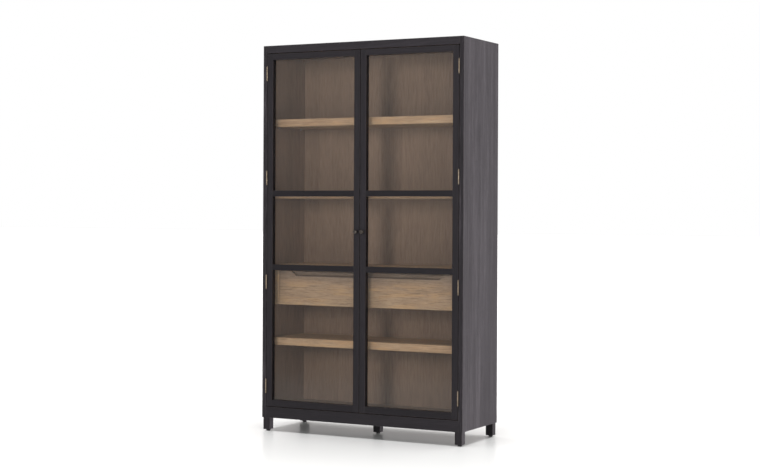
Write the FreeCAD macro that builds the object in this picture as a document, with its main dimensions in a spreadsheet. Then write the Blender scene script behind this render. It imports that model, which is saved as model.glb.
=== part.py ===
import FreeCAD, Part
import os
import Sketcher
from FreeCAD import Vector, Rotation, Placement

# ---------------------------------------------------------------------------
# Tall glazed display cabinet: two inset framed-glass doors on butt hinges,
# three shelves, a deck with one wide drawer hung under it, five square legs
# on round glides.
#
# Row frame: X to the right seen from the front, the front faces -Y, Z up.
# Origin: floor level, centre of the footprint (bottom of the centre glide).
# All lengths are millimetres.
# ---------------------------------------------------------------------------

doc = FreeCAD.newDocument("display_cabinet")

DIMS = [
    # overall
    ("width", 1200.0), ("depth", 437.0), ("height", 2092.0), ("ground_gap", 73.0),
    # carcass boards
    ("side_th", 24.0), ("top_th", 41.0), ("rail_th", 24.0), ("base_height", 59.0),
    ("floor_th", 24.0), ("back_th", 10.0), ("back_set", 401.0), ("back_groove", 8.0),
    ("back_rail_height", 80.0), ("stretcher_w", 40.0), ("arris", 1.0), ("fine_arris", 0.7),
    # shelves and deck
    ("shelf_th", 40.0), ("deck_th", 33.5), ("shelf_set", 71.0), ("shelf_play", 1.0),
    ("upper_shelf_z", 1655.0), ("middle_shelf_z", 1264.0), ("deck_z", 871.0), ("lower_shelf_z", 464.0),
    ("peg_rad", 2.5), ("peg_in", 10.0), ("peg_out", 10.0), ("peg_front", 50.0), ("peg_back", 280.0),
    # legs and glides
    ("leg_side", 40.0), ("leg_inset", 5.0), ("glide_height", 8.0), ("glide_rad", 11.5),
    ("glide_neck", 8.0), ("stud_rad", 4.0), ("stud_len", 18.0),
    ("leg_screw_rad", 2.0), ("leg_screw_head", 4.0), ("leg_screw_bite", 10.0), ("bolt_rad", 3.0), ("bolt_half", 30.0),
    # doors
    ("door_th", 28.0), ("door_side_gap", 2.5), ("door_end_gap", 3.5), ("door_mid_gap", 3.0),
    ("stile_w", 35.0), ("top_rail_w", 32.0), ("rail_w", 35.0), ("mid_rail_w", 31.0),
    ("upper_rail_z", 1274.5), ("lower_rail_z", 874.7),
    ("lip_th", 14.0), ("rebate_w", 8.0), ("glass_th", 4.0), ("glass_play", 1.0),
    # door furniture
    ("knob_z", 1088.0), ("knob_rad", 12.0), ("knob_out", 23.0), ("knob_neck", 5.0), ("knob_stud", 16.0), ("knob_stud_rad", 2.0),
    ("hinge_z_low", 245.0), ("hinge_pitch", 565.0), ("hinge_len", 70.0), ("barrel_rad", 3.4), ("barrel_out", 3.5),
    ("leaf_th", 1.1), ("leaf_deep", 22.0), ("leaf_start", 0.3), ("pin_rad", 1.6), ("bore_rad", 1.65), ("knuckle_gap", 0.2),
    ("hinge_screw_rad", 1.6), ("hinge_screw_head", 3.0), ("hinge_screw_len", 16.0), ("hinge_screw_deep", 12.0),
    ("strike_th", 1.2), ("strike_len", 40.0), ("strike_height", 14.0), ("strike_x", 45.0),
    ("catch_gap", 0.5), ("catch_deep", 16.0), ("catch_height", 13.0),
    # drawer
    ("drawer_half", 537.0), ("drawer_low", 686.0), ("drawer_top", 869.0), ("drawer_front_th", 18.0),
    ("cut_half", 433.5), ("cut_low", 842.0), ("drawer_side_th", 16.0), ("box_front_th", 14.0),
    ("box_low", 700.0), ("box_top", 864.0), ("box_back", 391.0), ("box_back_th", 14.0),
    ("finger_low", 820.0), ("finger_top", 846.5), ("finger_deep", 7.0),
    ("drawer_floor_z", 707.0), ("drawer_floor_th", 6.0), ("drawer_floor_in", 6.0),
    ("spacer_face", 540.5), ("runner_z", 770.0), ("runner_height", 18.0), ("runner_out", 9.0),
    ("runner_play", 0.5), ("runner_front", 100.0),
]
sheet = doc.addObject("Spreadsheet::Sheet", "Dimensions")
for row, (alias, value) in enumerate(DIMS, start=1):
    sheet.set("A%d" % row, alias)
    sheet.set("B%d" % row, repr(value))
    sheet.setAlias("B%d" % row, alias)
doc.recompute()


class Q:
    """A length that carries both its value and the sheet expression it comes from."""

    def __init__(self, v, e):
        self.v = float(v)
        self.e = e

    def _mix(self, other, op, flip=False):
        o = other if isinstance(other, Q) else Q(other, repr(float(other)))
        a, b = (o, self) if flip else (self, o)
        if op == "+":
            v = a.v + b.v
        elif op == "-":
            v = a.v - b.v
        elif op == "*":
            v = a.v * b.v
        else:
            v = a.v / b.v
        return Q(v, "(%s %s %s)" % (a.e, op, b.e))

    def __add__(self, o):
        return self._mix(o, "+")

    def __radd__(self, o):
        return self._mix(o, "+", True)

    def __sub__(self, o):
        return self._mix(o, "-")

    def __rsub__(self, o):
        return self._mix(o, "-", True)

    def __mul__(self, o):
        return self._mix(o, "*")

    def __rmul__(self, o):
        return self._mix(o, "*", True)

    def __truediv__(self, o):
        return self._mix(o, "/")

    def __neg__(self):
        return Q(-self.v, "(0 - %s)" % self.e)


def q(alias):
    return Q(sheet.get(alias), "Dimensions." + alias)


def num(x):
    return x if isinstance(x, Q) else Q(x, repr(float(x)))


ZERO = Q(0.0, "0")
W2 = q("width") / 2
Y0 = -(q("depth") / 2)          # front plane of the carcass
SIDE = W2 - q("side_th")        # inner face of a side panel
TOP_IN = q("height") - q("top_th")
BASE_TOP = q("ground_gap") + q("base_height")
PARTS = []                      # every exported sub-part, in order


def keep(obj, name):
    obj.Label = name
    PARTS.append((name, obj))
    return obj


def place(obj, x, y, z, rot=None):
    """Position bound to the sheet; the rotation is fixed."""
    if rot is not None:
        obj.Placement = Placement(Vector(0, 0, 0), rot)
    for axis, value in (("x", x), ("y", y), ("z", z)):
        value = num(value)
        obj.setExpression("Placement.Base." + axis, value.e)


def plane_of(body, role):
    for f in body.Origin.OriginFeatures:
        if f.Role == role:
            return f
    raise RuntimeError("no plane " + role)


def sketch_on(body, name, role, offset=None):
    sk = body.newObject("Sketcher::SketchObject", name)
    sk.AttachmentSupport = [(plane_of(body, role), "")]
    sk.MapMode = "FlatFace"
    if offset is not None:
        offset = num(offset)
        sk.AttachmentOffset = Placement(Vector(0, 0, offset.v), Rotation())
        sk.setExpression("AttachmentOffset.Base.z", offset.e)
    return sk


def tie(sk, kind, geo, pos, value, tag):
    """Tie one point of the sketch to the sketch origin by a signed distance."""
    value = num(value)
    if abs(value.v) < 1e-9:
        sk.addConstraint(Sketcher.Constraint("PointOnObject", geo, pos, -2 if kind == "DistanceX" else -1))
        return
    i = sk.addConstraint(Sketcher.Constraint(kind, -1, 1, geo, pos, value.v))
    sk.renameConstraint(i, tag)
    sk.setExpression("Constraints." + tag, value.e)


def outline(sk, pts):
    """Closed polygon through the points, each point dimensioned from the origin."""
    n = len(pts)
    pv = [Vector(num(a).v, num(b).v, 0) for a, b in pts]
    first = sk.GeometryCount
    for i in range(n):
        sk.addGeometry(Part.LineSegment(pv[i], pv[(i + 1) % n]), False)
    for i in range(n):
        sk.addConstraint(Sketcher.Constraint("Coincident", first + i, 2, first + (i + 1) % n, 1))
    for i in range(n):
        tie(sk, "DistanceX", first + i, 1, pts[i][0], "px%d_%d" % (first, i))
        tie(sk, "DistanceY", first + i, 1, pts[i][1], "py%d_%d" % (first, i))


def rect(sk, x0, y0, x1, y1):
    outline(sk, [(x0, y0), (x1, y0), (x1, y1), (x0, y1)])


def circles(sk, centres, rad):
    for k, (cx, cy) in enumerate(centres):
        g = sk.addGeometry(Part.Circle(Vector(num(cx).v, num(cy).v, 0), Vector(0, 0, 1), num(rad).v), False)
        tie(sk, "DistanceX", g, 3, cx, "cx%d_%d" % (g, k))
        tie(sk, "DistanceY", g, 3, cy, "cy%d_%d" % (g, k))
        i = sk.addConstraint(Sketcher.Constraint("Radius", g, num(rad).v))
        sk.renameConstraint(i, "cr%d_%d" % (g, k))
        sk.setExpression("Constraints.cr%d_%d" % (g, k), num(rad).e)


def new_body(name):
    return doc.addObject("PartDesign::Body", name)


def pad(body, sk, length, reverse=False):
    f = body.newObject("PartDesign::Pad", body.Name + "_pad")
    f.Profile = sk
    f.Length = num(length).v
    f.setExpression("Length", num(length).e)
    f.Reversed = reverse
    body.Tip = f
    doc.recompute()
    return f


def pocket(body, sk, length, reverse=False):
    before = body.Shape.Volume
    f = body.newObject("PartDesign::Pocket", body.Name + "_pocket")
    f.Profile = sk
    f.Length = num(length).v
    f.setExpression("Length", num(length).e)
    f.Reversed = reverse
    body.Tip = f
    doc.recompute()
    if not body.Shape.Volume < before - 1.0:
        raise RuntimeError("pocket removed nothing in " + body.Name)
    return f


def edges_where(shape, test):
    out = []
    for i, e in enumerate(shape.Edges, start=1):
        if test(e.BoundBox):
            out.append("Edge%d" % i)
    return out


def soften(body, radius, test=None):
    """Small round arris on the chosen edges of the body's tip."""
    base = body.Tip
    names = edges_where(base.Shape, test if test else (lambda b: True))
    f = body.newObject("PartDesign::Fillet", body.Name + "_arris")
    f.Base = (base, names)
    f.Radius = num(radius).v
    f.setExpression("Radius", num(radius).e)
    body.Tip = f
    doc.recompute()
    return f


def board(name, x0, x1, y0, y1, z0, z1, radius=None, test=None):
    """A planed board between two corners; y counts back from the front plane."""
    x0, x1, y0, y1, z0, z1 = [num(v) for v in (x0, x1, y0, y1, z0, z1)]
    b = new_body(name)
    sk = sketch_on(b, name + "_outline", "XY_Plane")
    rect(sk, ZERO, ZERO, x1 - x0, y1 - y0)
    pad(b, sk, z1 - z0)
    if radius is not None:
        soften(b, radius, test)
    place(b, x0, Y0 + y0, z0)
    return keep(b, name)


def holes_x(b, centres, rad, depth, at, toward_plus, tag):
    """Round holes along X: centres are (y, z) in the body's own frame."""
    sk = sketch_on(b, b.Name + "_" + tag, "YZ_Plane", at)
    circles(sk, centres, rad)
    pocket(b, sk, depth, reverse=toward_plus)


def holes_z(b, centres, rad, depth, at, upward, tag):
    sk = sketch_on(b, b.Name + "_" + tag, "XY_Plane", at)
    circles(sk, centres, rad)
    pocket(b, sk, depth, reverse=upward)


def group(name, shapes):
    """Identical loose pieces that share one node, each a solid of its own."""
    f = doc.addObject("Part::Feature", name)
    f.Shape = Part.makeCompound(shapes)
    return keep(f, name)


def val(alias):
    return float(sheet.get(alias))


ar, far = q("arris"), q("fine_arris")
HINGES = [q("hinge_z_low") + q("hinge_pitch") * k for k in range(4)]

# --- carcass ---------------------------------------------------------------
# Side panels run the full height; each has a groove for the back, holes for
# the shelf pegs, pilot holes for the hinge screws and for the leg screws.
LEG_IN = q("leg_inset") + q("leg_side")             # inner face of a leg from the outside
post = LEG_IN - q("side_th")                        # stepped top of a corner leg
for s, side in ((-1, "left"), (1, "right")):
    name = "side_panel_" + side
    b = new_body(name)
    sk = sketch_on(b, name + "_outline", "XY_Plane")
    rect(sk, ZERO, ZERO, q("side_th"), q("depth"))
    pad(b, sk, q("height") - q("ground_gap"))
    soften(b, ar)
    # the inner face is local x = side_th on the left, x = 0 on the right
    inner = q("side_th") if s < 0 else ZERO
    into = s > 0                                     # holes run away from the inside
    sk = sketch_on(b, name + "_groove", "XY_Plane", BASE_TOP - q("ground_gap"))
    g0, g1 = q("back_set"), q("back_set") + q("back_th")
    if s < 0:
        rect(sk, q("side_th") - q("back_groove"), g0, q("side_th") + 1, g1)
    else:
        rect(sk, num(-1), g0, q("back_groove"), g1)
    pocket(b, sk, TOP_IN - BASE_TOP, reverse=True)
    pegs = []
    for zs in (q("upper_shelf_z"), q("lower_shelf_z")):
        for dy in (q("peg_front"), q("peg_back")):
            pegs.append((q("shelf_set") + dy, zs - q("peg_rad") - 0.02 - q("ground_gap")))
    holes_x(b, pegs, q("peg_rad"), q("peg_in"), inner, into, "peg_holes")
    hs = []
    for zh in HINGES:
        for dz in (-17.5, 17.5):
            hs.append((q("hinge_screw_deep"), zh + dz - q("ground_gap")))
    holes_x(b, hs, q("hinge_screw_rad"), q("hinge_screw_len") - q("leaf_th"), inner, into, "hinge_pilots")
    ls = [(LEG_IN - post / 2, num(17.0)), (q("depth") - LEG_IN + post / 2, num(17.0))]
    holes_x(b, ls, q("leg_screw_rad"), q("leg_screw_bite"), inner, into, "leg_pilots")
    place(b, -W2 if s < 0 else SIDE, Y0, q("ground_gap"))
    keep(b, name)

board("top_panel", -SIDE, SIDE, 0, q("depth"), TOP_IN, q("height"), ar)
board("bottom_panel", -SIDE, SIDE, q("rail_th"), q("depth"), BASE_TOP - q("floor_th"), BASE_TOP, far)

# Base rails below the floor of the cabinet, with pilot holes for the leg screws.
for name, y0, front in (("bottom_front_rail", num(0), True), ("bottom_rear_rail", q("depth") - q("rail_th"), False)):
    b = new_body(name)
    sk = sketch_on(b, name + "_outline", "XY_Plane")
    rect(sk, ZERO, ZERO, SIDE * 2, q("rail_th"))
    tall = q("base_height") if front else q("base_height") - q("floor_th")
    pad(b, sk, tall)
    soften(b, ar if front else far)
    sk = sketch_on(b, name + "_leg_pilots", "XZ_Plane", -q("rail_th") if front else ZERO)
    circles(sk, [(post / 2, num(26.0)), (SIDE * 2 - post / 2, num(26.0))], q("leg_screw_rad"))
    pocket(b, sk, q("leg_screw_bite"), reverse=front)
    place(b, -SIDE, Y0 + y0, q("ground_gap"))
    keep(b, name)

# Stretcher from front to back over the centre leg.
b = new_body("bottom_stretcher")
sk = sketch_on(b, "bottom_stretcher_outline", "XY_Plane")
rect(sk, ZERO, ZERO, q("stretcher_w"), q("depth") - q("rail_th") * 2)
pad(b, sk, q("base_height") - q("floor_th"))
soften(b, far)
holes_z(b, [(q("stretcher_w") / 2, q("depth") / 2 - q("rail_th"))], q("bolt_rad"), q("bolt_half"), ZERO, True, "bolt_hole")
place(b, -(q("stretcher_w") / 2), Y0 + q("rail_th"), q("ground_gap"))
keep(b, "bottom_stretcher")

board("back_panel", -(SIDE + q("back_groove")), SIDE + q("back_groove"), q("back_set"), q("back_set") + q("back_th"), BASE_TOP, TOP_IN)
board("back_rail", -SIDE, SIDE, q("back_set") + q("back_th"), q("depth"), TOP_IN - q("back_rail_height"), TOP_IN, far)

# --- shelves and drawer deck -----------------------------------------------
loose = SIDE - q("shelf_play")
board("upper_shelf", -loose, loose, q("shelf_set"), q("back_set") - 2, q("upper_shelf_z"), q("upper_shelf_z") + q("shelf_th"), ar)
board("middle_shelf", -SIDE, SIDE, q("shelf_set"), q("back_set"), q("middle_shelf_z"), q("middle_shelf_z") + q("shelf_th"), ar)
board("drawer_deck", -SIDE, SIDE, q("shelf_set"), q("back_set"), q("deck_z"), q("deck_z") + q("deck_th"), ar)
board("lower_shelf", -loose, loose, q("shelf_set"), q("back_set") - 2, q("lower_shelf_z"), q("lower_shelf_z") + q("shelf_th"), ar)

pegs = []
for s in (-1, 1):
    for zs in (val("upper_shelf_z"), val("lower_shelf_z")):
        for dy in (val("peg_front"), val("peg_back")):
            c = Vector(s * (SIDE.v + val("peg_in")), Y0.v + val("shelf_set") + dy, zs - val("peg_rad") - 0.02)
            shank = Part.makeCylinder(val("peg_rad"), val("peg_in") + val("peg_out"), c, Vector(-s, 0, 0))
            collar = Part.makeCylinder(val("peg_rad") + 1.2, 1.0, Vector(s * SIDE.v, c.y, c.z - 1.3), Vector(-s, 0, 0))
            collar = collar.cut(Part.makeBox(20, 20, 20, Vector(s * SIDE.v - 10, c.y - 10, zs - 0.02)))
            pegs.append(shank.fuse(collar).removeSplitter())
group("shelf_pins", pegs)

# Spacers at both ends of the drawer keep it clear of the open doors, and
# carry its hardwood runners.
for s, side in ((-1, "left"), (1, "right")):
    x0, x1 = (-SIDE, -q("spacer_face")) if s < 0 else (q("spacer_face"), SIDE)
    board("drawer_spacer_" + side, x0, x1, q("shelf_set"), q("back_set"), q("drawer_low"), q("deck_z"), far)
run = []
for s in (-1, 1):
    x0 = -val("spacer_face") if s < 0 else val("spacer_face") - val("runner_out")
    bx = Part.makeBox(val("runner_out"), val("box_back") - val("runner_front"), val("runner_height"),
                      Vector(x0, Y0.v + val("runner_front"), val("runner_z")))
    bx = bx.makeFillet(1.0, [e for e in bx.Edges if e.BoundBox.YLength > 50 and
                             abs(abs(e.BoundBox.Center.x) - (val("spacer_face") - val("runner_out"))) < 0.1])
    run.append(bx)
group("drawer_runners", run)

# --- legs -------------------------------------------------------------------
# Corner legs stand just inside the outer faces; the inner quarter of each one
# runs up behind the rail and the side panel and is screwed to both.
L, LI, GH = q("leg_side"), q("leg_inset"), q("glide_height")
for sx, sy, name in ((-1, -1, "leg_front_left"), (1, -1, "leg_front_right"), (-1, 1, "leg_rear_left"), (1, 1, "leg_rear_right")):
    b = new_body(name)
    sk = sketch_on(b, name + "_foot", "XY_Plane")
    rect(sk, ZERO, ZERO, L, L)
    pad(b, sk, q("ground_gap") - GH)
    soften(b, num(1.5), lambda bb: bb.ZLength > 5 or bb.ZMax < 1)
    # the post stands on the quarter nearest the middle of the cabinet
    px0, px1 = (L - post, L) if sx < 0 else (ZERO, post)
    py0, py1 = (L - post, L) if sy < 0 else (ZERO, post)
    sk = sketch_on(b, name + "_post", "XY_Plane", q("ground_gap") - GH - 2)
    rect(sk, px0, py0, px1, py1)
    pad(b, sk, q("base_height") - q("floor_th") + 2)
    holes_z(b, [(L / 2, L / 2)], q("stud_rad"), q("stud_len"), ZERO, True, "stud_hole")
    # clearance holes with countersinks, one toward the side, one toward the rail
    zx = q("ground_gap") - GH + 17
    zy = q("ground_gap") - GH + 26
    yc = py0 + post / 2
    xc = px0 + post / 2
    sk = sketch_on(b, name + "_side_hole", "YZ_Plane", px1 if sx < 0 else px0)
    circles(sk, [(yc, zx)], q("leg_screw_rad"))
    pocket(b, sk, post, reverse=sx > 0)
    sk = sketch_on(b, name + "_rail_hole", "XZ_Plane", -py1 if sy < 0 else -py0)
    circles(sk, [(xc, zy)], q("leg_screw_rad"))
    pocket(b, sk, post, reverse=sy < 0)
    x0 = LI - W2 if sx < 0 else W2 - LI - L
    y0 = LI if sy < 0 else q("depth") - LI - L
    place(b, x0, Y0 + y0, GH)
    doc.recompute()
    keep(b, name)

b = new_body("leg_center")
sk = sketch_on(b, "leg_center_foot", "XY_Plane")
rect(sk, ZERO, ZERO, L, L)
pad(b, sk, q("ground_gap") - GH)
soften(b, num(1.5), lambda bb: bb.ZLength > 5 or bb.ZMax < 1)
holes_z(b, [(L / 2, L / 2)], q("stud_rad"), q("stud_len"), ZERO, True, "stud_hole")
holes_z(b, [(L / 2, L / 2)], q("bolt_rad"), q("bolt_half"), q("ground_gap") - GH, False, "bolt_hole")
place(b, -(L / 2), -(L / 2), GH)
keep(b, "leg_center")

# Round glides with a stud driven into the leg.
gh, gr, gn = val("glide_height"), val("glide_rad"), val("glide_neck")
prof = [Vector(0, 0, 0), Vector(gr - 1.5, 0, 0), Vector(gr, 0, 1.5), Vector(gr, 0, 5), Vector(gn, 0, gh), Vector(val("stud_rad"), 0, gh),
        Vector(val("stud_rad"), 0, gh + val("stud_len")), Vector(0, 0, gh + val("stud_len")), Vector(0, 0, 0)]
glide = Part.Face(Part.makePolygon(prof)).revolve(Vector(0, 0, 0), Vector(0, 0, 1), 360)
lx = W2.v - val("leg_inset") - val("leg_side") / 2
ly = val("depth") / 2 - val("leg_inset") - val("leg_side") / 2
glides = []
for x, y in ((-lx, -ly), (lx, -ly), (-lx, ly), (lx, ly), (0, 0)):
    g = glide.copy()
    g.translate(Vector(x, y, 0))
    glides.append(g)
group("leg_glides", glides)

# Flat-headed wood screws that hold the corner legs.
def wood_screw(head, rad, head_len, length):
    p = [Vector(0, 0, 0), Vector(head, 0, 0), Vector(rad, 0, head_len), Vector(rad, 0, length), Vector(0, 0, length), Vector(0, 0, 0)]
    return Part.Face(Part.makePolygon(p)).revolve(Vector(0, 0, 0), Vector(0, 0, 1), 360)

def pan_screw(head, rad, head_len, length):
    p = [Vector(0, 0, 0), Vector(head, 0, 0), Vector(head, 0, head_len), Vector(rad, 0, head_len), Vector(rad, 0, length + head_len),
         Vector(0, 0, length + head_len), Vector(0, 0, 0)]
    return Part.Face(Part.makePolygon(p)).revolve(Vector(0, 0, 0), Vector(0, 0, 1), 360)

pv = post.v
screws = []
for sx in (-1, 1):
    for sy in (-1, 1):
        xi = sx * (SIDE.v - pv)                       # inner faces of the post
        yi = sy * (val("depth") / 2 - LEG_IN.v)
        a = pan_screw(val("leg_screw_head"), val("leg_screw_rad"), 2.2, pv + val("leg_screw_bite"))
        a.Placement = Placement(Vector(xi - sx * 2.2, sy * (val("depth") / 2 - LEG_IN.v + pv / 2), val("ground_gap") + 17.0),
                                Rotation(Vector(0, 0, 1), Vector(sx, 0, 0)))
        c = pan_screw(val("leg_screw_head"), val("leg_screw_rad"), 2.2, pv + val("leg_screw_bite"))
        c.Placement = Placement(Vector(sx * (SIDE.v - pv / 2), yi - sy * 2.2, val("ground_gap") + 26.0),
                                Rotation(Vector(0, 0, 1), Vector(0, sy, 0)))
        screws += [a, c]
group("leg_screws", screws)
b = doc.addObject("Part::Cylinder", "center_leg_bolt")
b.setExpression("Radius", "Dimensions.bolt_rad")
b.setExpression("Height", "Dimensions.bolt_half * 2")
b.setExpression("Placement.Base.z", "Dimensions.ground_gap - Dimensions.bolt_half")
keep(b, "center_leg_bolt")

# --- drawer -----------------------------------------------------------------
DH, DT = q("drawer_half"), q("drawer_side_th")
F0 = q("shelf_set")
F1 = F0 + q("drawer_front_th")
b = new_body("drawer_front")
sk = sketch_on(b, "drawer_front_outline", "XZ_Plane")
top = q("drawer_top") - q("drawer_low")
low = q("cut_low") - q("drawer_low")
slant = q("drawer_top") - q("cut_low")
outline(sk, [(-DH, ZERO), (DH, ZERO), (DH, top), (q("cut_half") + slant, top), (q("cut_half"), low),
             (-q("cut_half"), low), (-(q("cut_half") + slant), top), (-DH, top)])
pad(b, sk, q("drawer_front_th"), reverse=True)
soften(b, far)
place(b, 0, Y0 + F0, q("drawer_low"))
keep(b, "drawer_front")

# Box front behind it, with a finger groove behind the lip of the cut-out and
# a groove for the drawer floor.
BI = DH - DT
b = new_body("drawer_box_front")
sk = sketch_on(b, "drawer_box_front_section", "YZ_Plane")
zt = q("box_top") + 3 - q("box_low")
f0, f1, fd = q("finger_low") - q("box_low"), q("finger_top") - q("box_low"), q("finger_deep")
n0, n1, bt = q("drawer_floor_z") - q("box_low"), q("drawer_floor_z") + q("drawer_floor_th") - q("box_low"), q("box_front_th")
outline(sk, [(ZERO, ZERO), (bt, ZERO), (bt, n0), (bt - q("drawer_floor_in"), n0), (bt - q("drawer_floor_in"), n1), (bt, n1),
             (bt, zt), (ZERO, zt), (ZERO, f1), (fd, f1), (fd, f0), (ZERO, f0)])
pad(b, sk, BI * 2)
place(b, -BI, Y0 + F1, q("box_low"))
keep(b, "drawer_box_front")

for s, side in ((-1, "left"), (1, "right")):
    name = "drawer_side_" + side
    b = new_body(name)
    sk = sketch_on(b, name + "_section", "XZ_Plane")
    zt = q("box_top") - q("box_low")
    g0 = q("runner_z") - q("runner_play") - q("box_low")
    g1 = q("runner_z") + q("runner_height") + q("runner_play") - q("box_low")
    gd = q("runner_out") - (q("spacer_face") - DH) + 1
    fin = q("drawer_floor_in")
    pts = [(ZERO, ZERO), (DT, ZERO), (DT, g0), (DT - gd, g0), (DT - gd, g1), (DT, g1), (DT, zt), (ZERO, zt),
           (ZERO, n1), (fin, n1), (fin, n0), (ZERO, n0)]
    if s < 0:
        pts = [(-a, c) for a, c in reversed(pts)]
    outline(sk, pts)
    pad(b, sk, q("box_back") - F1, reverse=True)
    soften(b, far, lambda bb, zt=zt: bb.ZMin > zt.v - 0.1 and bb.YLength > 50)
    place(b, BI if s > 0 else -BI, Y0 + F1, q("box_low"))
    keep(b, name)

board("drawer_back", -BI, BI, q("box_back") - q("box_back_th"), q("box_back"), q("drawer_floor_z") + q("drawer_floor_th"),
      q("box_top") - 14, far, lambda bb: bb.ZMin > 100 and bb.XLength > 50)
board("drawer_bottom", -(BI + q("drawer_floor_in")), BI + q("drawer_floor_in"), F1 + q("box_front_th") - q("drawer_floor_in"),
      q("box_back"), q("drawer_floor_z"), q("drawer_floor_z") + q("drawer_floor_th"))

# --- doors -------------------------------------------------------------------
DZ0 = BASE_TOP + q("door_end_gap")
DZ1 = TOP_IN - q("door_end_gap")
XH = SIDE - q("door_side_gap")                       # hinge edge
XM = q("door_mid_gap") / 2                           # meeting edge
XO0, XO1 = XM + q("stile_w"), XH - q("stile_w")      # glazed opening
LIGHTS = [(DZ0 + q("rail_w"), q("lower_rail_z")),
          (q("lower_rail_z") + q("mid_rail_w"), q("upper_rail_z")),
          (q("upper_rail_z") + q("mid_rail_w"), DZ1 - q("top_rail_w"))]
lip, reb, dth = q("lip_th"), q("rebate_w"), q("door_th")
sw = q("stile_w")
for s, side in ((-1, "left"), (1, "right")):
    pre = "door_%s_" % side
    # hinge stile and meeting stile: rebated on the glazing side at the back
    for kind in ("hinge", "meeting"):
        name = pre + kind + "_stile"
        b = new_body(name)
        sk = sketch_on(b, name + "_section", "XY_Plane")
        opens_low = (kind == "hinge") == (s > 0)      # rebate on the low-x edge
        if opens_low:
            pts = [(ZERO, ZERO), (sw, ZERO), (sw, dth), (reb, dth), (reb, lip), (ZERO, lip)]
        else:
            pts = [(ZERO, ZERO), (sw, ZERO), (sw, lip), (sw - reb, lip), (sw - reb, dth), (ZERO, dth)]
        outline(sk, pts)
        pad(b, sk, DZ1 - DZ0)
        soften(b, far, lambda bb: bb.YMax < 0.01)
        if kind == "hinge":
            edge = sw if s > 0 else ZERO
            hs = []
            for zh in HINGES:
                for dz in (-17.5, 17.5):
                    hs.append((q("hinge_screw_deep"), zh + dz - DZ0))
            holes_x(b, hs, q("hinge_screw_rad"), q("hinge_screw_len") - q("leaf_th"), edge, s < 0, "hinge_pilots")
            x0 = XH - sw if s > 0 else -XH
        else:
            sk = sketch_on(b, name + "_knob_hole", "XZ_Plane")
            circles(sk, [(sw / 2, q("knob_z") - DZ0)], q("knob_stud_rad"))
            pocket(b, sk, q("knob_stud"), reverse=False)
            x0 = XM if s > 0 else -XM - sw
        place(b, x0, Y0, DZ0)
        keep(b, name)
    # rails: front lip between the stiles, back part lapped into their rebates
    span = XO1 - XO0
    for name, z0, hgt, low_reb, top_reb in (
            (pre + "top_rail", DZ1 - q("top_rail_w"), q("top_rail_w"), reb, ZERO),
            (pre + "upper_mid_rail", q("upper_rail_z"), q("mid_rail_w"), reb, reb),
            (pre + "lower_mid_rail", q("lower_rail_z"), q("mid_rail_w"), reb, reb),
            (pre + "bottom_rail", DZ0, q("rail_w"), ZERO, reb)):
        b = new_body(name)
        sk = sketch_on(b, name + "_lip", "YZ_Plane")
        rect(sk, ZERO, ZERO, lip, hgt)
        pad(b, sk, span)
        soften(b, far, lambda bb: bb.YMax < 0.01 and bb.XLength > 50)
        sk = sketch_on(b, name + "_lap", "YZ_Plane", -reb)
        rect(sk, lip, low_reb, dth, hgt - top_reb)
        pad(b, sk, span + reb * 2)
        place(b, XO0 if s > 0 else -XO1, Y0, z0)
        keep(b, name)
    # glass panes, loose by one millimetre in their rebates
    xa, xb = (XO0.v, XO1.v) if s > 0 else (-XO1.v, -XO0.v)
    rb, gp, gt, lp = reb.v, val("glass_play"), val("glass_th"), lip.v
    panes, beads = [], []
    for za, zb in LIGHTS:
        p = Part.makeBox(xb - xa + 2 * (rb - gp), gt, zb.v - za.v + 2 * (rb - gp), Vector(xa - rb + gp, Y0.v + lp, za.v - rb + gp))
        panes.append(p)
        bd = dth.v - lp - gt
        yb = Y0.v + lp + gt
        for bx in (Part.makeBox(rb, bd, zb.v - za.v + 2 * rb, Vector(xa - rb, yb, za.v - rb)),
                   Part.makeBox(rb, bd, zb.v - za.v + 2 * rb, Vector(xb, yb, za.v - rb)),
                   Part.makeBox(xb - xa, bd, rb, Vector(xa, yb, za.v - rb)),
                   Part.makeBox(xb - xa, bd, rb, Vector(xa, yb, zb.v))):
            beads.append(bx)
    group(pre + "glass", panes)
    group(pre + "glazing_beads", beads)

# --- hinges -------------------------------------------------------------------
hl, br, bo = val("hinge_len"), val("barrel_rad"), val("barrel_out")
lt, ld, l0 = val("leaf_th"), val("leaf_deep"), val("leaf_start")
kg, bore = val("knuckle_gap"), val("bore_rad")
hx = (SIDE.v + XH.v) / 2                             # pin axis, in the gap
step = hl / 5.0
KN_FRAME = [(0.0, step), (2 * step, 3 * step), (4 * step, hl)]
KN_DOOR = [(step + kg, 2 * step - kg), (3 * step + kg, 4 * step - kg)]


def leaf(s, outer, knuckles, zc):
    """One leaf with its knuckles. outer: the leaf on the side panel."""
    ax, ay, z0 = s * hx, Y0.v - bo, zc - hl / 2
    if outer:
        xa, xb = sorted((s * SIDE.v, s * (SIDE.v - lt)))
    else:
        xa, xb = sorted((s * XH.v, s * (XH.v + lt)))
    shape = Part.makeBox(xb - xa, ld - l0, hl, Vector(xa, Y0.v + l0, z0))
    for a, c in knuckles:
        shape = shape.fuse(Part.makeCylinder(br, c - a, Vector(ax, ay, z0 + a)))
        shape = shape.fuse(Part.makeBox(xb - xa, bo + l0, c - a, Vector(xa, ay, z0 + a)))
    shape = shape.cut(Part.makeCylinder(bore, hl + 2, Vector(ax, ay, z0 - 1)))
    hr, sr = val("hinge_screw_head"), val("hinge_screw_rad")
    for dz in (-17.5, 17.5):
        face = (xa if s > 0 else xb) if outer else (xb if s > 0 else xa)
        d = Vector(s, 0, 0) if outer else Vector(-s, 0, 0)
        shape = shape.cut(Part.makeCone(hr, sr, lt, Vector(face, Y0.v + val("hinge_screw_deep"), zc + dz), d))
    return shape.removeSplitter()


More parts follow.
